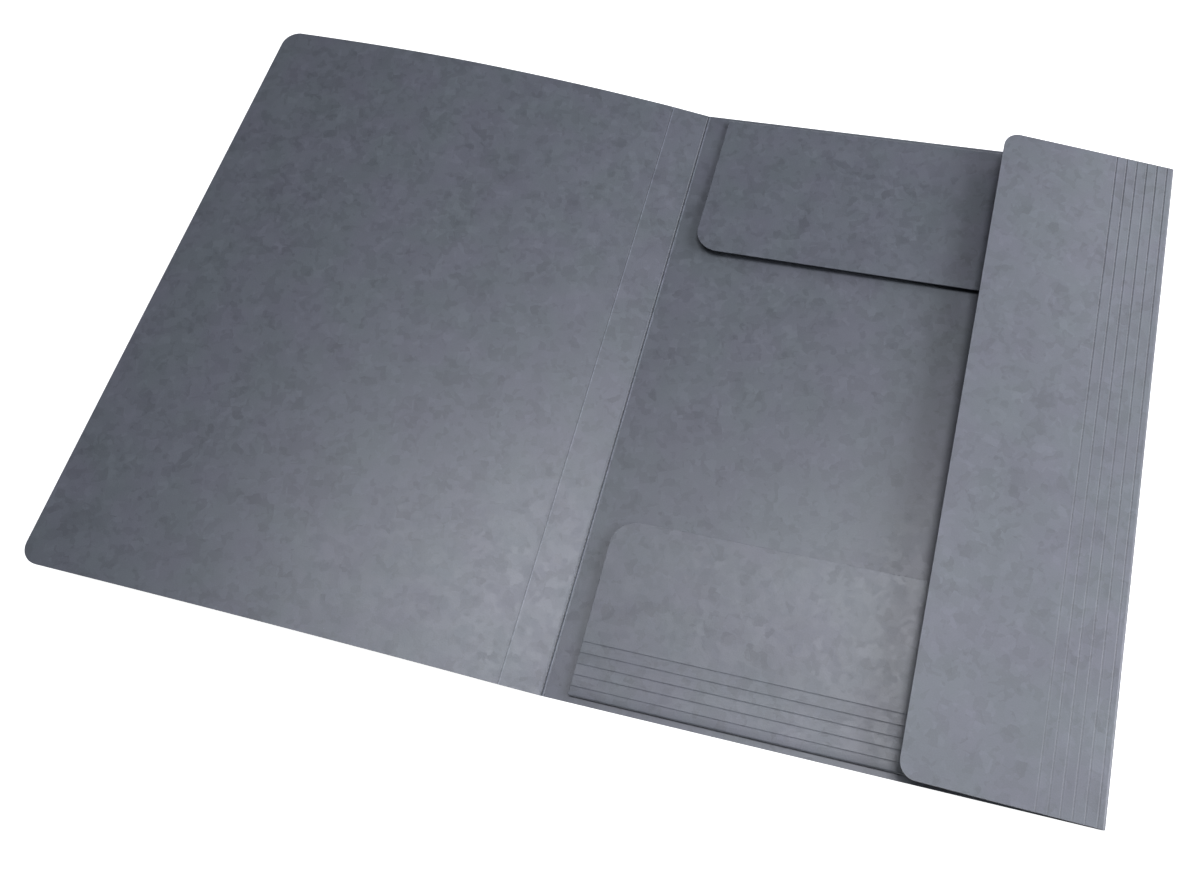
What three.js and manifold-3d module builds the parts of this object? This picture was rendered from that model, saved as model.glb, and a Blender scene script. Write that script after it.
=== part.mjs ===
// Three flap folder of pressed card, lying open: the back panel is flat, the spine and the front
// cover rise to its left, and a top, a bottom and a side flap are folded in over it.
// Millimetres, +Z up, +X away from the spine, +Y towards the top edge of the folder.
// Origin: the centre of the back panel's underside, which lies on the table.

import * as THREE from "three";
import { mergeVertices } from "three/addons/utils/BufferGeometryUtils.js";
import Module from "manifold-3d";

// The card, and the sheet that it is cut to
const cardThickness = 0.5;
const folderHeight = 320;
const backWidth = 240;
const spineWidth = 20;
const coverWidth = 226;
const coverCornerRadius = 9;

// How the spine and the cover stand in the photograph, and the gap where two panels hinge
const spineTiltDegrees = 13;
const coverBowDegrees = 10;
const coverTwistDegrees = 1.5;
const hingeGap = 0.3;
const quarterTurnDegrees = 90;

// The side flap, folded back over the back panel in a round bend
const sideFlapWidth = 83.5;
const sideFlapTiltDegrees = 9.3;
const sideFlapCornerRadius = 7.5;
const sideBendRadius = 1.5;
const sideCreaseCount = 6;
const sideFirstCrease = 2.2;

// The top and bottom flaps, each glued to the back panel by a tab under its own fold
const innerFlapDepth = 83;
const innerFlapCornerRadius = 12.5;
const innerFlapTiltDegrees = 1.3;
const spineMargin = 12.3;
const sideMargin = 12;
const panelLip = 2.8;
const glueTabDepth = 18;
const glueGap = 0.3;
const innerBendRadius = 0.65;
const bottomCreaseCount = 5;
const bottomFirstCrease = 3.7;

// The pressed capacity creases: shallow grooves on the side that shows
const creasePitch = 5;
const creaseWidth = 0.8;
const creaseDepth = 0.15;

const bendStepDegrees = 8;
const bowSteps = 16;
const twistSteps = 16;
const cornerSegments = 12;

const cardColour = 0x63666f;
const radians = THREE.MathUtils.degToRad;

const wasm = await Module();
wasm.setup();

const folder = new THREE.Group();
folder.position.set(-backWidth / 2, -folderHeight / 2, 0);

// A rail is one face of the card seen end on, drawn like a pen stroke: straight runs, round bends and
// creases. Each of its points knows the way into the card, which is left (1) or right (-1) of the stroke.
function drawRail(startX, startZ, headingDegrees, inwardSide, strokes) {
  let x = startX;
  let z = startZ;
  let heading = radians(headingDegrees);
  const points = [];
  const mark = (dip) => {
    const inwardX = -inwardSide * Math.sin(heading);
    const inwardZ = inwardSide * Math.cos(heading);
    points.push({ x, z, inwardX, inwardZ, dip });
  };
  mark(0);
  for (const { length, turn = 0, steps = 1, dip = 0 } of strokes) {
    const turnStep = radians(turn) / steps;
    const chord = turn ? (length / steps) * (Math.sin(turnStep / 2) / (turnStep / 2)) : length / steps;
    for (let step = 0; step < steps; step += 1) {
      heading += turnStep / 2;
      x += chord * Math.cos(heading);
      z += chord * Math.sin(heading);
      heading += turnStep / 2;
      mark(dip);
    }
  }
  return points;
}

// A round bend of the outer face, by its radius and the angle that it turns through
function bend(radius, turn) {
  return { length: radius * Math.abs(radians(turn)), turn, steps: Math.ceil(Math.abs(turn) / bendStepDegrees) };
}

// A straight run with pressed creases across it, at equal pitch from the first one
function creasedRun(length, firstCrease, count) {
  const strokes = [];
  let reached = 0;
  for (let index = 0; index < count; index += 1) {
    const centre = firstCrease + index * creasePitch;
    strokes.push({ length: centre - creaseWidth / 2 - reached });
    strokes.push({ length: creaseWidth / 2, dip: creaseDepth });
    strokes.push({ length: creaseWidth / 2 });
    reached = centre + creaseWidth / 2;
  }
  strokes.push({ length: length - reached });
  return strokes;
}

// The card's closed section: the rail, and the same line one card thickness further in
function cardSection(rail) {
  const shifted = (depth) => (point) =>
    new THREE.Vector2(point.x + point.inwardX * (point.dip + depth), point.z + point.inwardZ * (point.dip + depth));
  return new THREE.Shape([...rail.map(shifted(0)), ...rail.map(shifted(cardThickness)).reverse()]);
}

// A section in the XZ plane drawn out along Y over the folder's whole height
function alongHeight(section, steps = 1) {
  const geometry = new THREE.ExtrudeGeometry(section, { depth: folderHeight, steps, bevelEnabled: false });
  return geometry.rotateX(Math.PI / 2).translate(0, folderHeight, 0);
}

// A section in the YZ plane drawn out along X from one end to the other
function alongWidth(section, fromX, toX) {
  const geometry = new THREE.ExtrudeGeometry(section, { depth: toX - fromX, bevelEnabled: false });
  const turn = new THREE.Matrix4().makeBasis(
    new THREE.Vector3(0, 1, 0), new THREE.Vector3(0, 0, 1), new THREE.Vector3(1, 0, 0));
  return geometry.applyMatrix4(turn).translate(fromX, 0, 0);
}

function toSolid(geometry) {
  const bare = geometry.clone();
  bare.deleteAttribute("normal");
  bare.deleteAttribute("uv");
  const merged = mergeVertices(bare, 1e-4);
  return new wasm.Manifold(new wasm.Mesh({
    numProp: 3,
    vertProperties: new Float32Array(merged.attributes.position.array),
    triVerts: new Uint32Array(merged.index.array),
  }));
}

function toGeometry(solid) {
  const mesh = solid.getMesh();
  const geometry = new THREE.BufferGeometry();
  geometry.setAttribute("position", new THREE.BufferAttribute(new Float32Array(mesh.vertProperties), 3));
  geometry.setIndex(new THREE.BufferAttribute(new Uint32Array(mesh.triVerts), 1));
  geometry.computeVertexNormals();
  return geometry;
}

// The outline that a panel is cut to, seen from above: a rectangle whose named corners are rounded
function cutToOutline(geometry, low, high, radii) {
  const { lowLow = 0, highLow = 0, highHigh = 0, lowHigh = 0 } = radii;
  const outline = new THREE.Shape();
  outline.moveTo(low.x + lowLow, low.y);
  outline.lineTo(high.x - highLow, low.y);
  if (highLow) outline.absarc(high.x - highLow, low.y + highLow, highLow, -Math.PI / 2, 0);
  outline.lineTo(high.x, high.y - highHigh);
  if (highHigh) outline.absarc(high.x - highHigh, high.y - highHigh, highHigh, 0, Math.PI / 2);
  outline.lineTo(low.x + lowHigh, high.y);
  if (lowHigh) outline.absarc(low.x + lowHigh, high.y - lowHigh, lowHigh, Math.PI / 2, Math.PI);
  outline.lineTo(low.x, low.y + lowLow);
  if (lowLow) outline.absarc(low.x + lowLow, low.y + lowLow, lowLow, Math.PI, Math.PI * 1.5);
  geometry.computeBoundingBox();
  const { min, max } = geometry.boundingBox;
  const clear = cardThickness;
  const cutter = new THREE.ExtrudeGeometry(outline, {
    depth: max.z - min.z + 2 * clear, bevelEnabled: false, curveSegments: cornerSegments,
  }).translate(0, 0, min.z - clear);
  return toGeometry(toSolid(geometry).intersect(toSolid(cutter)));
}

function addPanel(name, geometry) {
  const material = new THREE.MeshStandardMaterial({ color: cardColour, roughness: 0.5, metalness: 0 });
  const panel = new THREE.Mesh(geometry, material);
  panel.name = name;
  folder.add(panel);
}

// Back panel: flat on the table from the spine crease to the side fold, where it turns up into the
// first half of the round bend. The side flap hinges on the bend's outermost line.
const bendCut = THREE.MathUtils.radToDeg(hingeGap / 2 / sideBendRadius);
const backRail = drawRail(hingeGap / 2, 0, 0, 1, [
  { length: backWidth - sideBendRadius - hingeGap / 2 },
  bend(sideBendRadius, quarterTurnDegrees - bendCut),
]);
addPanel("back_panel", alongHeight(cardSection(backRail)));

// Side flap: the second half of the bend, then the flap itself, which springs up off the back panel.
// Its six creases let the folder grow thicker.
const flapRail = drawRail(backWidth, sideBendRadius, quarterTurnDegrees, 1, [
  { length: hingeGap / 2, turn: bendCut },
  bend(sideBendRadius, quarterTurnDegrees - sideFlapTiltDegrees - bendCut),
  ...creasedRun(sideFlapWidth, sideFirstCrease, sideCreaseCount),
]).slice(1);
const flapEdge = flapRail.at(-1);
addPanel("side_flap", cutToOutline(
  alongHeight(cardSection(flapRail)),
  { x: flapEdge.x + Math.min(0, flapEdge.inwardX * cardThickness), y: 0 },
  { x: backWidth + cardThickness, y: folderHeight },
  { lowLow: sideFlapCornerRadius, lowHigh: sideFlapCornerRadius },
));

// Spine: a straight strip between the two creases that the cover turns on.
// Its rail is the upper face, because both creases fold upwards.
const creaseZ = cardThickness;
const spineRail = drawRail(0, creaseZ, 180 - spineTiltDegrees, 1, [
  { length: hingeGap / 2 },
  { length: spineWidth - hingeGap },
]).slice(1);
addPanel("spine", alongHeight(cardSection(spineRail)));

// Front cover: it leaves the spine in line with it and bows over towards its free edge, and it is
// twisted a little, so that its top corner hangs lower than its bottom corner.
const coverCreaseX = -spineWidth * Math.cos(radians(spineTiltDegrees));
const coverCreaseZ = creaseZ + spineWidth * Math.sin(radians(spineTiltDegrees));
const coverRail = drawRail(coverCreaseX, coverCreaseZ, 180 - spineTiltDegrees, 1, [
  { length: hingeGap / 2 },
  { length: coverWidth - hingeGap / 2, turn: coverBowDegrees, steps: bowSteps },
]).slice(1);
const coverEdge = coverRail.at(-1);
const coverSheet = alongHeight(cardSection(coverRail), twistSteps);
const coverPoints = coverSheet.attributes.position;
for (let index = 0; index < coverPoints.count; index += 1) {
  const out = coverCreaseX - coverPoints.getX(index);
  const up = coverPoints.getY(index) / folderHeight - 0.5;
  const drop = 2 * up * out * Math.tan(radians(coverTwistDegrees));
  coverPoints.setZ(index, coverPoints.getZ(index) - drop);
}
addPanel("front_cover", cutToOutline(
  coverSheet,
  { x: coverEdge.x + coverEdge.inwardX * cardThickness, y: 0 },
  { x: coverCreaseX + cardThickness, y: folderHeight },
  { lowLow: coverCornerRadius, lowHigh: coverCornerRadius },
));

// Top and bottom flaps: a glued tab on the back panel, a tight fold near the panel's edge, and the
// flap, which lies back over the tab and lifts a little towards its free edge.
const tabZ = cardThickness + glueGap;
function innerFlapSection(creases) {
  return drawRail(panelLip + glueTabDepth, tabZ, 180, -1, [
    { length: glueTabDepth - innerBendRadius },
    bend(innerBendRadius, -(180 - innerFlapTiltDegrees)),
    ...creasedRun(innerFlapDepth - innerBendRadius, bottomFirstCrease, creases),
  ]);
}

function innerFlap(creases, mirrored) {
  const rail = innerFlapSection(creases);
  const freeEdge = rail.at(-1).x;
  const geometry = cutToOutline(
    alongWidth(cardSection(rail), spineMargin, backWidth - sideMargin),
    { x: spineMargin, y: 0 },
    { x: backWidth - sideMargin, y: freeEdge },
    { highHigh: innerFlapCornerRadius, lowHigh: innerFlapCornerRadius },
  );
  if (mirrored) {
    // Half a turn about the panel's centre takes the flap from the bottom edge to the top edge
    geometry.rotateZ(Math.PI).translate(backWidth + spineMargin - sideMargin, folderHeight, 0);
  }
  return geometry;
}

addPanel("bottom_flap", innerFlap(bottomCreaseCount, false));
addPanel("top_flap", innerFlap(0, true));

export default folder;
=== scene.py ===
"""Three flap folder of mottled blue-grey pressed card, lying open on a pale table."""

import math

import bmesh
import bpy
import numpy as np
from mathutils import Matrix, Vector


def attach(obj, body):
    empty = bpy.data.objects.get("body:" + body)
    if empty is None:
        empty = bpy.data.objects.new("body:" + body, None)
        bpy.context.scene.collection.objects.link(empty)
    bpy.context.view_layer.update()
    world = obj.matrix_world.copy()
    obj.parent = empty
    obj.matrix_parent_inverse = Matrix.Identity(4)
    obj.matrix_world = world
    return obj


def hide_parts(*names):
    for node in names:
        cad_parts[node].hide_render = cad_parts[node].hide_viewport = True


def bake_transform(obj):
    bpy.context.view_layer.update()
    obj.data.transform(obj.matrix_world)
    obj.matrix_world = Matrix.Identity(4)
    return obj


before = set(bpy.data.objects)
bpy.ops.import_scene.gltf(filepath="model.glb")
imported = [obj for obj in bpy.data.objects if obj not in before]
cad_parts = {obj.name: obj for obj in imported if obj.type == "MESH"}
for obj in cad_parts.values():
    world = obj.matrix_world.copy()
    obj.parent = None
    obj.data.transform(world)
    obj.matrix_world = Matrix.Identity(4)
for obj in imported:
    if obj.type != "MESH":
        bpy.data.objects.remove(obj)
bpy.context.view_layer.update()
scene = bpy.context.scene
MM = 0.001


# Camera: held above the folder's lower edge, about half a metre off, looking down past the spine,
# and rolled so that the folder lies aslant in the picture.
camera_place = Vector((21.7, -212.1, 481.4)) * MM
look_heading = math.radians(30.38)
look_down = math.radians(66.04)
camera_roll = math.radians(-17.80)
lens_mm = 32.96
film_wide_mm = 36
picture_wide_px = 1200
picture_high_px = 886
lens_centre_px = (685.6, 438.9)
centre_right = lens_centre_px[0] - picture_wide_px / 2
centre_down = lens_centre_px[1] - picture_high_px / 2

camera_data = bpy.data.cameras.new("camera")
camera_data.lens = lens_mm
camera_data.sensor_width = film_wide_mm
camera_data.shift_x = -centre_right / picture_wide_px
camera_data.shift_y = centre_down / picture_wide_px
camera_data.clip_start = 0.01
camera = bpy.data.objects.new("camera", camera_data)
turned = Matrix.Rotation(look_heading, 4, "Z") @ Matrix.Rotation(math.pi / 2 - look_down, 4, "X")
camera.matrix_world = Matrix.Translation(camera_place) @ turned @ Matrix.Rotation(camera_roll, 4, "Z")
scene.collection.objects.link(camera)
scene.camera = camera
scene.view_settings.view_transform = "Standard"


# Table: a plain pale top that the back panel lies on. It glows enough to stay white in the folder's
# shadow, as the photograph's ground does, and throws no light back, which keeps the gaps under the
# flaps dark.
table_half = 4.0
table_drop = 0.0002
table_grey = 0.8
table_roughness = 0.9
table_glow = 0.95

table_material = bpy.data.materials.new("pale_table")
table_material.use_nodes = True
table_shader = table_material.node_tree.nodes["Principled BSDF"]
table_shader.inputs["Base Color"].default_value = (table_grey, table_grey, table_grey, 1)
table_shader.inputs["Roughness"].default_value = table_roughness
table_shader.inputs["Emission Color"].default_value = (1, 1, 1, 1)
table_shader.inputs["Emission Strength"].default_value = table_glow
table_mesh = bpy.data.meshes.new("table")
table_corners = [(x, y, -table_drop) for x, y in ((-1, -1), (1, -1), (1, 1), (-1, 1))]
table_mesh.from_pydata(table_corners, [], [(0, 1, 2, 3)])
table_mesh.transform(Matrix.Diagonal((table_half, table_half, 1, 1)))
table_mesh.materials.append(table_material)
table = bpy.data.objects.new("table", table_mesh)
scene.collection.objects.link(table)
table.visible_diffuse = False


# Light: a soft box overhead and a smaller one to its left give the gloss across the folder's lower
# part, two large ones on the right throw the flaps' shadows to the left, and a dim room fills the
# rest. All of them face the middle of the back panel.
lamp_colour = (0.985, 1.0, 1.07)
room_colour = (0.9, 0.95, 1)
room_strength = 0.06
soft_boxes = (
    ("overhead", (0.17, 0.1, 1.19), 0.4, 4.5),
    ("overhead_left", (-0.31, 0.06, 1.16), 0.3, 1.5),
    ("right_back", (0.735, 0.735, 0.6), 0.7, 3.4),
    ("right_side", (1.04, 0.0, 0.6), 0.7, 9.8),
)

for name, place, side, power in soft_boxes:
    lamp_data = bpy.data.lights.new(name, "AREA")
    lamp_data.shape = "RECTANGLE"
    lamp_data.size = side
    lamp_data.size_y = side
    lamp_data.energy = power
    lamp_data.color = lamp_colour
    lamp = bpy.data.objects.new(name, lamp_data)
    lamp.location = place
    lamp.rotation_euler = (Vector((0, 0, 0)) - Vector(place)).to_track_quat("-Z", "Y").to_euler()
    scene.collection.objects.link(lamp)

world = bpy.data.worlds.new("pale_room")
world.use_nodes = True
world.node_tree.nodes["Background"].inputs["Color"].default_value = (*room_colour, 1)
world.node_tree.nodes["Background"].inputs["Strength"].default_value = room_strength
scene.world = world


# Back panel: the flat middle of the die cut sheet, which carries everything else. It is pressed card
# of about 400 g per square metre, dyed right through, mottled with flakes and lightly glazed.
card_thick = 0.5
cut_bevel = 0.07
folder_high = 320.0
back_wide = 240.0
crease_half = 1.6
bend_radius = 1.5
bend_lead = 0.6
row_step = 4.0
corner_rows = 12
other_face_pattern = 40.0
sharp_edge_degrees = 35
purple_slate = (0.140, 0.147, 0.177)
green_slate = (0.135, 0.152, 0.171)
card_roughness = 0.41
card_gloss = 1.0
ripple_waves = ((37, 61), (-88, 43), (23, math.inf))


def add_node(tree, kind, settings=None, inputs=None):
    """Adds a node. An input given as a socket is linked, and any other one is set."""
    made = tree.nodes.new(kind)
    for key, value in (settings or {}).items():
        setattr(made, key, value)
    for key, value in (inputs or {}).items():
        if isinstance(value, bpy.types.NodeSocket):
            tree.links.new(value, made.inputs[key])
        else:
            made.inputs[key].default_value = value
    return made


def sums(tree, operation, first, second=0.0, third=0.0, clamp=False):
    settings = {"operation": operation, "use_clamp": clamp}
    return add_node(tree, "ShaderNodeMath", settings, {0: first, 1: second, 2: third}).outputs[0]


def product(tree, first, *others):
    for other in others:
        first = sums(tree, "MULTIPLY", first, other)
    return first


def pressed_card():
    """Slate card: two hues, crossed flakes of three sizes, fine fibres, and painted shade and highlights at
    the creases.
    """
    material = bpy.data.materials.new("pressed_card")
    material.use_nodes = True
    tree = material.node_tree
    shader = tree.nodes["Principled BSDF"]
    shader.inputs["Specular IOR Level"].default_value = card_gloss
    place = add_node(tree, "ShaderNodeAttribute", {"attribute_name": "on_sheet"}).outputs["Vector"]

    # Flake edges wander by up to about a millimetre
    sway = add_node(tree, "ShaderNodeTexNoise", None, {"Vector": place, "Scale": 190.0, "Detail": 1.0})
    half = (0.5, 0.5, 0.5)
    reach = (0.0025, 0.0025, 0.0)
    centred = add_node(
        tree, "ShaderNodeVectorMath", {"operation": "SUBTRACT"}, {0: sway.outputs["Color"], 1: half}
    ).outputs[0]
    swayed = add_node(
        tree, "ShaderNodeVectorMath", {"operation": "MULTIPLY_ADD"}, {0: centred, 1: reach, 2: place}
    ).outputs[0]

    def cells(scale, turn, metric):
        mapped = add_node(tree, "ShaderNodeMapping", None, {"Vector": swayed, "Rotation": (0, 0, turn)})
        cell = add_node(
            tree, "ShaderNodeTexVoronoi", {"distance": metric}, {"Vector": mapped.outputs[0], "Scale": scale}
        )
        return add_node(tree, "ShaderNodeSeparateColor", None, {0: cell.outputs["Color"]}).outputs

    def noise(scale, detail):
        made = add_node(tree, "ShaderNodeTexNoise", None, {"Vector": place, "Scale": scale, "Detail": detail})
        return sums(tree, "SUBTRACT", made.outputs[0], 0.5)

    def below(value, limit):
        return sums(tree, "LESS_THAN", value, limit)

    def above(value, limit):
        return sums(tree, "GREATER_THAN", value, limit)

    # Flakes: a small sharp patch shows where cells of two crossed patterns overlap
    coarse = cells(115.0, 0.5, "MANHATTAN")
    middle = cells(185.0, 1.3, "CHEBYCHEV")
    small = cells(265.0, 2.2, "MANHATTAN")
    dark = product(tree, below(middle[0], 0.42), below(small[0], 0.5))
    large_dark = product(tree, below(coarse[0], 0.32), below(middle[1], 0.55))
    light = product(tree, above(middle[0], 0.7), above(small[1], 0.66))
    layers = (
        (dark, -0.11),
        (large_dark, -0.08),
        (light, 0.075),
        (sums(tree, "SUBTRACT", small[2], 0.5), 0.06),
        (noise(42.0, 2.0), 0.2),
        (noise(1700.0, 2.0), 0.26),
    )
    tone = 1.0
    for layer, strength in layers:
        tone = sums(tree, "MULTIPLY_ADD", layer, strength, tone)

    # A crease gets painted shade at its bottom and a painted highlight beside it, broken up by noise
    broken = sums(tree, "MULTIPLY_ADD", noise(900.0, 1.0), 2.2, 0.75, True)
    for mark, strength in (("crease", -0.75), ("painted_highlight", 0.5)):
        painted_light_mark = add_node(tree, "ShaderNodeAttribute", {"attribute_name": mark}).outputs["Fac"]
        shade = sums(tree, "MULTIPLY_ADD", product(tree, painted_light_mark, broken), strength, 1.0)
        tone = product(tree, tone, shade)

    # Sparse pale specks, where a fibre didn't take the dye
    dots = add_node(tree, "ShaderNodeTexVoronoi", None, {"Vector": place, "Scale": 60.0})
    rare = add_node(tree, "ShaderNodeSeparateColor", None, {0: dots.outputs["Color"]}).outputs[0]
    speck = product(tree, below(dots.outputs["Distance"], 0.011), above(rare, 0.7))
    tone = sums(tree, "MULTIPLY_ADD", speck, 0.9, tone)

    hue = sums(tree, "MULTIPLY_ADD", noise(38.0, 2.0), 3.5, 0.5, True)
    dye = add_node(
        tree, "ShaderNodeMix", {"data_type": "RGBA"}, {0: hue, 6: (*purple_slate, 1), 7: (*green_slate, 1)}
    )
    toned = add_node(
        tree, "ShaderNodeVectorMath", {"operation": "SCALE"}, {0: dye.outputs[2], "Scale": tone}
    )
    tree.links.new(toned.outputs[0], shader.inputs["Base Color"])
    rough = sums(tree, "MULTIPLY_ADD", sums(tree, "SUBTRACT", small[1], 0.5), 0.06, card_roughness)
    tree.links.new(rough, shader.inputs["Roughness"])
    fibres = noise(1300.0, 3.0)
    bump = add_node(tree, "ShaderNodeBump", None, {"Height": fibres, "Strength": 0.3, "Distance": 0.0001})
    tree.links.new(bump.outputs[0], shader.inputs["Normal"])
    return material


def trace(distance, start, heading, runs, side):
    """The card's face seen end on at these distances along it, and the way into the card there.
    runs are (length in mm, turn in radians); the card lies left of the line if side is 1, right if -1."""
    at = np.zeros(distance.shape + (2,))
    into = np.zeros_like(at)
    corner = np.array(start, float)
    begun = 0.0
    for length, turn in runs:

        def step(along):
            if not turn:
                return along[..., None] * np.array([math.cos(heading), math.sin(heading)])
            angle = heading + turn * along / length
            chord = np.stack([np.sin(angle) - math.sin(heading), math.cos(heading) - np.cos(angle)], -1)
            return chord * length / turn

        here = distance >= begun - 1e-9
        along = distance[here] - begun
        angle = heading + turn * along / length
        at[here] = corner + step(along)
        into[here] = side * np.stack([-np.sin(angle), np.cos(angle)], -1)
        corner = corner + step(np.array(length))
        heading += turn
        begun += length
    return at, into


def marks(reach, spacing, extra=()):
    """Distances from 0 to reach, evenly spaced but for those that an extra one nearby replaces."""
    even = np.linspace(0, reach, max(2, math.ceil(reach / spacing) + 1))
    kept = [value for value in even if all(abs(value - one) > spacing / 6 for one in extra)]
    return np.array(sorted({0.0, reach, *kept, *extra}))


def flat_rows(distance, station, radius, cut_start, cut_end):
    """The flat piece's points as distance and station, with its far corners rounded, and how far
    each one is bevelled: 1 at a cut edge, 0 elsewhere."""
    reach = distance[-1]
    if cut_start:
        distance = np.sort(np.append(distance, cut_bevel))
    if cut_end:
        distance = np.sort(np.append(distance, reach - cut_bevel))
    low, high = station[0], station[-1]
    rounding = radius * (1 - np.cos(np.linspace(0, math.pi / 2, corner_rows)[1:]))
    ends = np.append(rounding, cut_bevel)
    station = np.array(sorted({*station, *(low + ends), *(high - ends)}))
    station = station[np.append(True, np.diff(station) > cut_bevel / 4)]
    s, t = np.meshgrid(distance, station, indexing="ij")
    short = np.clip(radius - np.minimum(t - low, high - t), 0, None)
    held_back = radius - np.sqrt(np.clip(radius**2 - short**2, 0, None))
    share = np.clip((s - reach + 2 * radius) / (2 * radius), 0, 1) if radius else 0
    s = s - held_back * share
    bevelled = np.zeros(s.shape)
    bevelled[:, [0, -1]] = 1
    bevelled[0] = np.maximum(bevelled[0], cut_start)
    bevelled[-1] = np.maximum(bevelled[-1], cut_end)
    return s, t, bevelled


def shell_faces(rows, columns):
    """The quads of a closed shell of two like faces, each of rows by columns points, and its rim."""
    index = np.arange(rows * columns).reshape(rows, columns)
    quads = np.stack([index[:-1, :-1], index[1:, :-1], index[1:, 1:], index[:-1, 1:]], -1).reshape(-1, 4)
    under = quads[:, ::-1] + index.size
    ring = np.concatenate([index[:, 0], index[-1, 1:], index[-2::-1, -1], index[0, -2:0:-1]])
    following = np.roll(ring, -1)
    rim = np.stack([ring, following, following + index.size, ring + index.size], -1)
    return np.concatenate([quads, under, rim]).tolist()


def card_shell(name, distance, station, face, on_sheet, radius=0.0, cut_start=False, cut_end=False):
    """A closed piece of card. distance runs from its fold or crease to its far edge and station along
    that edge, both in mm; face gives the points of one face and the way into the card there. on_sheet
    is where the piece begins on the sheet's pattern, and 1 or -1 for the way that it runs there."""
    s, t, bevelled = flat_rows(distance, station, radius, cut_start, cut_end)
    points, into = face(s, t)
    depths = (bevelled * cut_bevel, card_thick - bevelled * cut_bevel)
    vertices = np.concatenate([(points + into * depth[..., None]).reshape(-1, 3) for depth in depths])
    mesh = bpy.data.meshes.new(name)
    mesh.from_pydata((vertices * MM).tolist(), [], shell_faces(*s.shape))
    sheet_start, sheet_step = on_sheet
    laid = np.stack([sheet_start + sheet_step * s, t, np.zeros_like(s)], -1).reshape(-1, 3)
    other = laid + np.array([0, 0, other_face_pattern])
    values = {
        "on_sheet": ("FLOAT_VECTOR", "vector", np.concatenate([laid, other]) * MM),
        "into_card": ("FLOAT_VECTOR", "vector", np.concatenate([into.reshape(-1, 3)] * 2)),
        "from_fold": ("FLOAT", "value", np.tile(s.ravel(), 2)),
    }
    for key, (kind, field, value) in values.items():
        mesh.attributes.new(key, kind, "POINT").data.foreach_set(field, value.astype(np.float32).ravel())
    shape = bmesh.new()
    shape.from_mesh(mesh)
    bmesh.ops.recalc_face_normals(shape, faces=shape.faces)
    shape.to_mesh(mesh)
    shape.free()
    mesh.shade_smooth()
    mesh.set_sharp_from_angle(angle=math.radians(sharp_edge_degrees))
    mesh.materials.append(card)
    piece = bpy.data.objects.new(name, mesh)
    scene.collection.objects.link(piece)
    return piece


def across_sheet(at, into, t):
    """Places a section of the main sheet, drawn from the spine crease, in the folder's own frame."""
    points = np.stack([at[..., 0] - back_wide / 2, t - folder_high / 2, at[..., 1]], -1)
    return points, np.stack([into[..., 0], np.zeros_like(t), into[..., 1]], -1)


def ripple(s, t, reach, height, seed):
    """The slight unevenness of a free panel of card, none at its fold or crease: three waves, whose
    lengths in mm across the panel and along it are in ripple_waves."""
    sway = 0
    for order, (across, along) in enumerate(ripple_waves):
        sway = sway + np.sin(s / across + t / along + seed * (order + 1))
    return height / 3 * sway * np.clip(s / reach * 2, 0, 1) ** 2


card = pressed_card()
station_rows = marks(folder_high, row_step)


def back_face(s, t):
    return across_sheet(*trace(s, (crease_half, 0), 0, [(back_wide, 0)], 1), t)


back_reach = back_wide - bend_radius - bend_lead - crease_half
back_panel = card_shell(
    "back_panel_card", marks(back_reach, row_step), station_rows, back_face, on_sheet=(crease_half, 1)
)
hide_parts("back_panel")
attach(back_panel, "back")


# Creases: pressed lines that the card bends on, made by a blunt rule in the same press that cuts the
# sheet. Each is a shallow groove with a low lip on either side; its bottom carries painted shade and
# one lip a painted highlight. Places and widths across a groove are in half widths of it.
lip_place = 1.9
lip_width = 0.6
lip_height = 0.25
shade_width = 0.8
highlight_place = -1.6
highlight_width = 0.8
groove_reach = 3.2
groove_rows = 17
crease_sizes = ("First crease", "Pitch", "Count", "Half width", "Depth", "Shade gain", "Highlight gain", "Fade")


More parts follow.
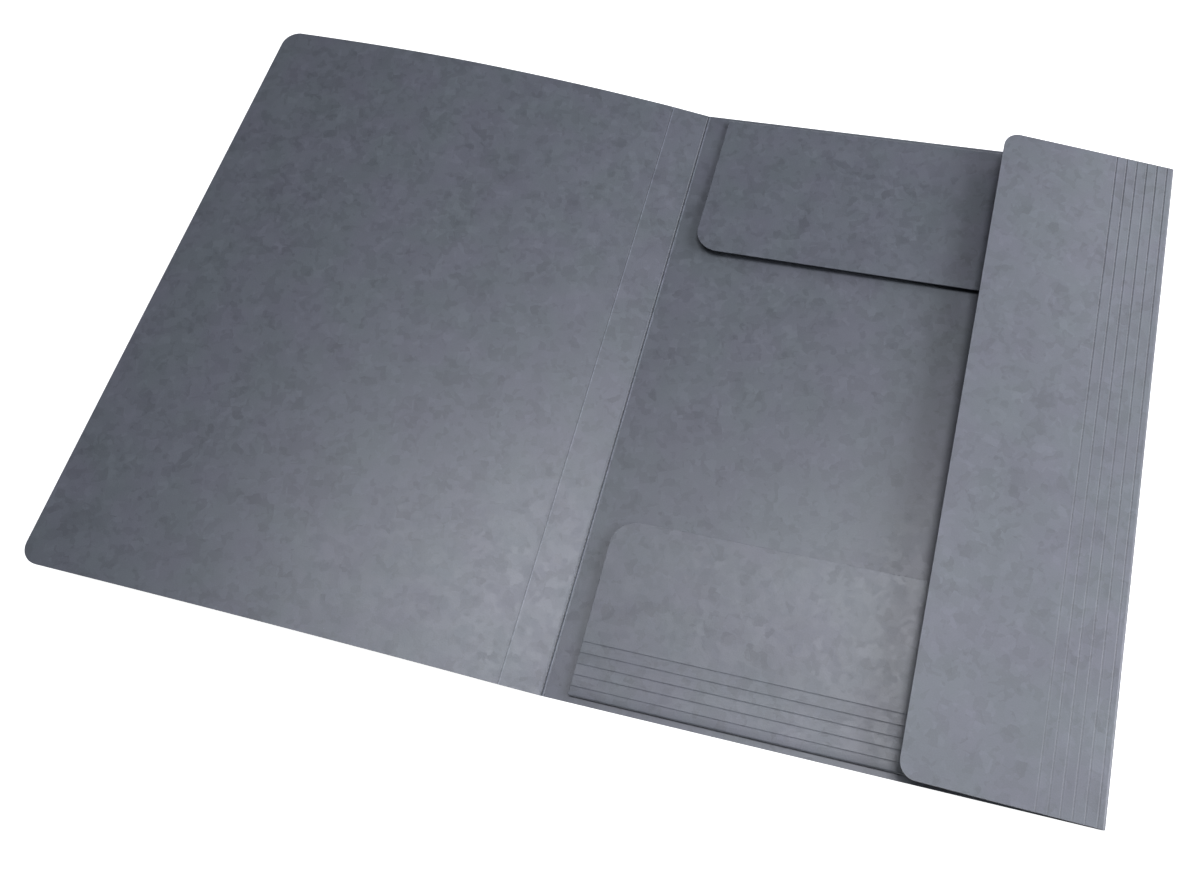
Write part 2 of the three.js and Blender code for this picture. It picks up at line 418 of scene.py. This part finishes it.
def crease_press():
    """Presses equally spaced grooves into card, by its from_fold and into_card attributes."""
    tree = bpy.data.node_groups.new("crease_press", "GeometryNodeTree")
    sockets = [("Geometry", "NodeSocketGeometry")]
    sockets += [(name, "NodeSocketFloat") for name in crease_sizes]
    sockets += [("Card", "NodeSocketMaterial")]
    for name, kind in sockets:
        tree.interface.new_socket(name, in_out="INPUT", socket_type=kind)
    tree.interface.new_socket("Geometry", in_out="OUTPUT", socket_type="NodeSocketGeometry")
    given = tree.nodes.new("NodeGroupInput").outputs

    def named(kind, name):
        made = add_node(tree, "GeometryNodeInputNamedAttribute", {"data_type": kind}, {0: name})
        return made.outputs["Attribute"]

    def hump(across, centre, width):
        away = sums(tree, "DIVIDE", sums(tree, "SUBTRACT", across, centre), width)
        return sums(tree, "EXPONENT", product(tree, away, away, -1.0))

    # How far a point is from the nearest crease
    place = sums(tree, "SUBTRACT", named("FLOAT", "from_fold"), given["First crease"])
    number = sums(tree, "ROUND", sums(tree, "DIVIDE", place, given["Pitch"]))
    last = sums(tree, "SUBTRACT", given["Count"], 1.0)
    number = sums(tree, "MINIMUM", sums(tree, "MAXIMUM", number, 0.0), last)
    off = sums(tree, "SUBTRACT", place, product(tree, number, given["Pitch"]))
    off = sums(tree, "DIVIDE", off, given["Half width"])

    # The grooves, their painted shade and their painted highlight all weaken towards the folder's lower edge
    upward = add_node(tree, "ShaderNodeSeparateXYZ", None, {0: named("FLOAT_VECTOR", "on_sheet")}).outputs[1]
    lower = sums(tree, "MULTIPLY_ADD", upward, -1 / (folder_high * MM), 1.0)
    upward_weight = sums(tree, "SUBTRACT", 1.0, product(tree, lower, given["Fade"]))

    lip = hump(sums(tree, "ABSOLUTE", off), lip_place, lip_width)
    pressed = sums(tree, "MULTIPLY_ADD", lip, -lip_height, hump(off, 0.0, 1.0))
    deep = product(tree, pressed, given["Depth"], upward_weight, MM)
    into_card = named("FLOAT_VECTOR", "into_card")
    press = add_node(
        tree, "ShaderNodeVectorMath", {"operation": "SCALE"}, {0: into_card, "Scale": deep}
    )
    shown = add_node(
        tree, "GeometryNodeSetPosition", None, {"Geometry": given["Geometry"], "Offset": press.outputs[0]}
    ).outputs[0]
    # Painted shade along the groove's bottom, and a painted highlight on one lip beside it
    dark = product(tree, hump(off, 0.0, shade_width), given["Shade gain"], upward_weight)
    highlight_mask = product(tree, hump(off, highlight_place, highlight_width), given["Highlight gain"], upward_weight)
    for name, value in (("crease", dark), ("painted_highlight", highlight_mask)):
        keep = add_node(tree, "GeometryNodeStoreNamedAttribute", {"data_type": "FLOAT", "domain": "POINT"})
        keep.inputs["Name"].default_value = name
        tree.links.new(shown, keep.inputs["Geometry"])
        tree.links.new(value, keep.inputs["Value"])
        shown = keep.outputs[0]
    real = add_node(tree, "GeometryNodeRealizeInstances", None, {0: shown}).outputs[0]
    dressed = add_node(
        tree, "GeometryNodeSetMaterial", None, {"Geometry": real, "Material": given["Card"]}
    ).outputs[0]
    tree.links.new(dressed, tree.nodes.new("NodeGroupOutput").inputs[0])
    return tree


press_tree = crease_press()


def press_creases(piece, first, pitch, count, half_width, depth, shade_gain, highlight_gain, fade=0.0):
    """Presses count creases into a piece, the first of them first mm from where the piece begins."""
    modifier = piece.modifiers.new("press", "NODES")
    modifier.node_group = press_tree
    sizes = dict(zip(crease_sizes, (first, pitch, count, half_width, depth, shade_gain, highlight_gain, fade)))
    for item in press_tree.interface.items_tree:
        if item.in_out == "INPUT" and item.name in sizes:
            modifier[item.identifier] = float(sizes[item.name])
        if item.name == "Card":
            modifier[item.identifier] = card
    bpy.context.view_layer.update()
    pressed = bpy.data.meshes.new_from_object(piece.evaluated_get(bpy.context.evaluated_depsgraph_get()))
    piece.modifiers.remove(modifier)
    piece.data = pressed


def crease_marks(first, pitch, count, half_width):
    """The extra distances that give each groove and its lips their form."""
    offsets = np.linspace(-groove_reach, groove_reach, groove_rows) * half_width
    return [first + index * pitch + off for index in range(count) for off in offsets]


# Spine: the straight strip that gives the closed folder its thickness, part of the same sheet. It
# stands between two creases; the card bends on the first one, beside the back panel.
spine_wide = 20.0
spine_tilt = math.radians(13)
spine_heading = math.pi - spine_tilt
crease_strip = 2 * crease_half
crease_step = 0.1
crease_rows = marks(folder_high, 2.5)


def spine_face(s, t):
    start = (-crease_half * math.cos(spine_tilt), card_thick + crease_half * math.sin(spine_tilt))
    return across_sheet(*trace(s, start, spine_heading, [(spine_wide, 0)], 1), t)


def spine_crease_face(s, t):
    runs = [(crease_half / 2, 0), (crease_half, -spine_tilt), (crease_half / 2, 0)]
    return across_sheet(*trace(s, (crease_half, card_thick), math.pi, runs, 1), t)


spine = card_shell(
    "spine_card", marks(spine_wide - crease_strip, row_step), station_rows, spine_face,
    on_sheet=(-crease_half, -1),
)
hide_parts("spine")
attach(spine, "spine")

spine_crease = card_shell(
    "spine_crease_card", marks(crease_strip, crease_step), crease_rows, spine_crease_face,
    on_sheet=(crease_half, -1),
)
press_creases(
    spine_crease, crease_half, crease_strip, 1, half_width=0.42, depth=0.16, shade_gain=1.2, highlight_gain=2.8
)
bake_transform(spine_crease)


# Front cover: the last panel of the sheet. It leaves the spine in line with it, at the second crease,
# bows over towards its free edge and is twisted a little, which the stiff card does as it is opened.
cover_wide = 226.0
cover_bow = math.radians(10)
cover_twist = math.tan(math.radians(1.5))
cover_radius = 9.0
cover_ripple = 0.25
cover_crease_x = -spine_wide * math.cos(spine_tilt)
cover_crease_z = card_thick + spine_wide * math.sin(spine_tilt)


def cover_face(s, t):
    along = s + crease_half
    runs = [(crease_half, 0), (cover_wide - crease_half, cover_bow)]
    at, into = trace(along, (cover_crease_x, cover_crease_z), spine_heading, runs, 1)
    out = np.clip(cover_crease_x - at[..., 0] - crease_half, 0, None)
    at[..., 1] -= 2 * (t / folder_high - 0.5) * out * cover_twist
    at -= into * ripple(s, t, cover_wide, cover_ripple, 0.7)[..., None]
    return across_sheet(at, into, t)


def cover_crease_face(s, t):
    before = spine_wide - crease_half
    start = (-before * math.cos(spine_tilt), card_thick + before * math.sin(spine_tilt))
    return across_sheet(*trace(s, start, spine_heading, [(crease_strip, 0)], 1), t)


front_cover = card_shell(
    "front_cover_card", marks(cover_wide - crease_half, row_step), station_rows, cover_face,
    on_sheet=(-spine_wide - crease_half, -1), radius=cover_radius, cut_end=True,
)
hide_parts("front_cover")
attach(front_cover, "cover")

cover_crease = card_shell(
    "cover_crease_card", marks(crease_strip, crease_step), crease_rows, cover_crease_face,
    on_sheet=(-spine_wide + crease_half, -1),
)
press_creases(
    cover_crease, crease_half, crease_strip, 1, half_width=0.3, depth=0.06, shade_gain=0.7, highlight_gain=2.2
)
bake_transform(cover_crease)


# Side flap: the full height flap opposite the spine, turned back over the other two in a round bend
# of the sheet. Six creases beside the bend let the folder grow thicker.
flap_wide = 83.5
flap_tilt = math.radians(9.3)
flap_radius = 7.5
flap_ripple = 0.2
crease_pitch = 5.0
side_first_crease = 2.2
side_creases = 6
side_groove = 0.34
corner_spring = 1.7
bend_turn = math.pi - flap_tilt
bend_length = bend_radius * bend_turn
bend_runs = [(bend_lead, 0), (bend_length, bend_turn), (bend_lead, 0)]
bend_start = back_wide - bend_radius - bend_lead
flap_on_sheet = back_wide + 4


def bend_face(s, t):
    return across_sheet(*trace(s, (bend_start, 0), 0, bend_runs, 1), t)


def side_face(s, t):
    start = (back_wide - bend_radius, 0)
    runs = [(bend_length, bend_turn), (flap_wide, 0)]
    at, into = trace(s + bend_length + bend_lead, start, 0, runs, 1)
    at -= into * ripple(s, t, flap_wide, flap_ripple, 2.1)[..., None]
    at -= into * (corner_spring * (s / flap_wide) ** 3 * (1 - t / folder_high) ** 3)[..., None]
    return across_sheet(at, into, t)


side_bend = card_shell(
    "side_bend_card", marks(2 * bend_lead + bend_length, 0.2), station_rows, bend_face,
    on_sheet=(bend_start, 1),
)
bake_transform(side_bend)

side_first = side_first_crease - bend_lead
side_marks = crease_marks(side_first, crease_pitch, side_creases, side_groove)
side_flap = card_shell(
    "side_flap_card", marks(flap_wide - bend_lead, row_step, side_marks), station_rows, side_face,
    on_sheet=(flap_on_sheet, 1), radius=flap_radius, cut_end=True,
)
press_creases(
    side_flap, side_first, crease_pitch, side_creases, side_groove,
    depth=0.09, shade_gain=1.25, highlight_gain=0.5, fade=0.65,
)
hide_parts("side_flap")
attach(side_flap, "side_flap")


# Bottom flap: a separate strip of the same card. Its narrow tab is glued to the back panel just inside
# the lower edge, it folds back over the tab, and five creases run along the fold. Past the glue the
# stiff fold stands up a little, which leaves a thin dark gap under it.
panel_lip = 2.8
tab_deep = 18.0
glue_gap = 0.3
fold_radius = 0.65
inner_deep = 83.0
inner_tilt = math.radians(1.3)
inner_radius = 12.5
inner_ripple = 0.12
fold_rise = 0.5
spine_margin = 12.3
side_margin = 12.0
bottom_first_crease = 3.7
bottom_creases = 5
bottom_groove = 0.15
bottom_spring = 0.8
tab_run = tab_deep - fold_radius
fold_turn = math.pi - inner_tilt
fold_length = fold_radius * fold_turn
inner_runs = [(tab_run, 0), (fold_length, -fold_turn), (inner_deep - fold_radius, 0)]
inner_reach = sum(length for length, turn in inner_runs)
inner_wide = back_wide - side_margin - spine_margin
inner_stations = marks(inner_wide, row_step)
flap_begins = tab_run + fold_length


def inner_section(s, t, lift):
    """An inner flap seen end on, with its free edge lifted by lift, in mm, at each station."""
    at, into = trace(s, (panel_lip + tab_deep, card_thick + glue_gap), math.pi, inner_runs, -1)
    out = np.clip(s - flap_begins, 0, None)
    near = np.clip(1 - np.abs(s - flap_begins) / tab_run, 0, 1)
    at[..., 1] += fold_rise * near**2 * (3 - 2 * near)
    at[..., 1] += lift * (out / inner_deep) ** 1.5
    at[..., 1] += ripple(out, t, inner_deep, inner_ripple, 4.4)
    return at, into


def bottom_face(s, t):
    at, into = inner_section(s, t, bottom_spring * (1 - t / inner_wide) ** 2)
    points = np.stack([spine_margin + t - back_wide / 2, at[..., 0] - folder_high / 2, at[..., 1]], -1)
    return points, np.stack([np.zeros_like(t), into[..., 0], into[..., 1]], -1)


bottom_first = flap_begins + bottom_first_crease
fold_marks = list(tab_run + np.linspace(0, fold_length, 13))
bottom_marks = crease_marks(bottom_first, crease_pitch, bottom_creases, bottom_groove)
bottom_flap = card_shell(
    "bottom_flap_card", marks(inner_reach, row_step, fold_marks + bottom_marks), inner_stations,
    bottom_face, on_sheet=(0, 1), radius=inner_radius, cut_start=True, cut_end=True,
)
press_creases(
    bottom_flap, bottom_first, crease_pitch, bottom_creases, bottom_groove,
    depth=0.05, shade_gain=0.6, highlight_gain=0.3,
)
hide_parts("bottom_flap")
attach(bottom_flap, "back")


# Top flap: the same strip again, glued inside the upper edge and without creases. It springs up a
# little more at its spine end, where the side flap doesn't hold it down.
top_spring = 1.6
top_on_sheet = -230


def top_face(s, t):
    at, into = inner_section(s, t, top_spring * (1 - t / inner_wide) ** 1.5)
    points = np.stack([spine_margin + t - back_wide / 2, folder_high / 2 - at[..., 0], at[..., 1]], -1)
    return points, np.stack([np.zeros_like(t), -into[..., 0], into[..., 1]], -1)


top_flap = card_shell(
    "top_flap_card", marks(inner_reach, row_step, fold_marks), inner_stations,
    top_face, on_sheet=(top_on_sheet, 1), radius=inner_radius, cut_start=True, cut_end=True,
)
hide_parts("top_flap")
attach(top_flap, "back")
